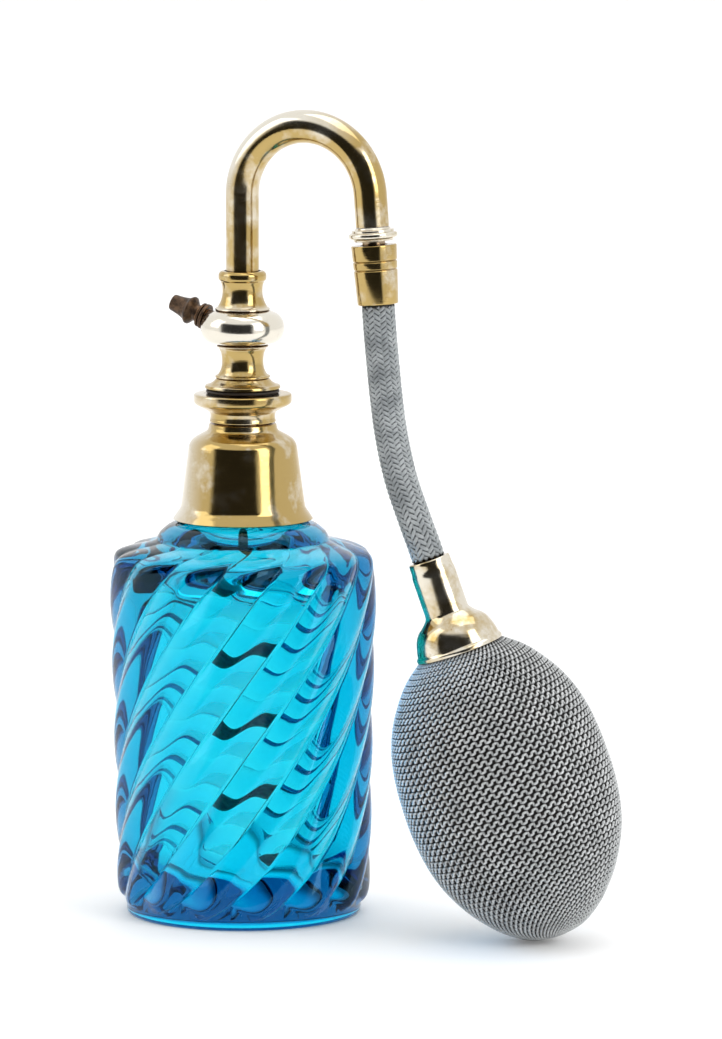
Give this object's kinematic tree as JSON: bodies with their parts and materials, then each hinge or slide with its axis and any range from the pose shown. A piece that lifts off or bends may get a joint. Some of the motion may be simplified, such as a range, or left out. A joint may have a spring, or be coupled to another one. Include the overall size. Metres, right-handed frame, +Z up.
{
  "type": "bulb atomizer perfume bottle",
  "caption": "Swirled glass perfume bottle with a brass collar and head, a gooseneck pipe, and a netted rubber bulb on a braided hose.",
  "frame": {"origin": "centre of the glass bottle's flat underside", "axes": "+Z up along the bottle's axis, +X towards the gooseneck's hose end, -X towards the spray nozzle"},
  "size_m": [0.1101, 0.0546, 0.1618],
  "materials": {
    "glass": "pressed turquoise glass, fire polished",
    "brass": "worn gilt brass with silvery high spots",
    "bronze": "dark patina with worn orange edges",
    "steel": "polished",
    "cement": "set plaster cement",
    "cork": "pressed cork",
    "leather": "dark oiled leather",
    "rubber": "matt moulded rubber",
    "braid": "woven silver-grey thread cover",
    "net": "knitted grey yarn"
  },
  "bodies": {
    "bottle": {"glass_bottle": "glass", "collar_cement": "cement", "neck_gasket": "cork", "bell_collar": "brass", "threaded_bush": "brass"},
    "dip": {"dip_tube": "bronze"},
    "washer": {"sealing_washer": "leather"},
    "head": {"head_body": "brass", "gooseneck_tube": "brass", "jet_tube": "steel", "nozzle_seat": "bronze", "hose_nipple": "brass"},
    "nozzle_ring": {"nozzle_washer": "bronze"},
    "nozzle": {"nozzle_tip": "bronze"},
    "hose": {"hose_ferrule": "brass", "hose_braid": "braid", "hose_rubber": "rubber"},
    "bulb": {"bulb_ferrule": "brass", "bulb_nipple": "brass", "outlet_valve_seat": "brass", "bulb_rubber": "rubber", "bulb_net": "net", "inlet_valve_body": "brass", "inlet_valve_cap": "brass"},
    "outlet_valve": {"outlet_valve_ball": "steel"},
    "inlet_valve": {"inlet_valve_ball": "steel"}
  },
  "joints": [
    {"name": "head_lift", "type": "slide", "parent": "bottle", "child": "dip", "axis": [0, 0, 1], "range_m": [0, 0.1]},
    {"name": "head_rise", "type": "slide", "parent": "dip", "child": "washer", "axis": [0, 0, 1], "range_m": [0, 0.00501]},
    {"name": "head_turn", "type": "hinge", "parent": "washer", "child": "head", "pos_m": [0, 0, 0.1048], "axis": [0, 0, 1], "range_deg": [0, 1800]},
    {"name": "nozzle_advance", "type": "slide", "parent": "head", "child": "nozzle_ring", "axis": [-0.9397, 0, 0.342], "range_m": [0, 0.0012]},
    {"name": "nozzle_turn", "type": "hinge", "parent": "nozzle_ring", "child": "nozzle", "pos_m": [0, 0, 0.1167], "axis": [-0.9397, 0, 0.342], "range_deg": [0, 1081]},
    {"name": "hose_swivel", "type": "hinge", "parent": "head", "child": "hose", "pos_m": [0.02856, 0, 0.13922], "axis": [-0.0785, 0, 0.9969], "range_deg": [-30, 60]},
    {"name": "hose_flex", "type": "hinge", "parent": "hose", "child": "bulb", "pos_m": [0.0345, -0.0047, 0.1004], "axis": [-0.0903, -0.9959, 0], "range_deg": [0, 60], "stiffness_Nm_per_rad": 0.03, "deforming": ["hose_braid", "hose_rubber"]},
    {"name": "bulb_squeeze", "type": "slide", "parent": "bulb", "child": "outlet_valve", "axis": [-0.3138, -0.0983, 0.9444], "range_m": [0, 0.0015], "deforming": ["bulb_rubber", "bulb_net"]},
    {"name": "inlet_valve_lift", "type": "slide", "parent": "bulb", "child": "inlet_valve", "axis": [-0.3138, -0.0983, 0.9444], "range_m": [0, 0.001]}
  ],
  "couplings": [
    {"joint": "head_rise", "follows": "head_turn", "m_per_rad": 0.00015915},
    {"joint": "nozzle_turn", "follows": "nozzle_advance", "rad_per_m": 15708}
  ]
}
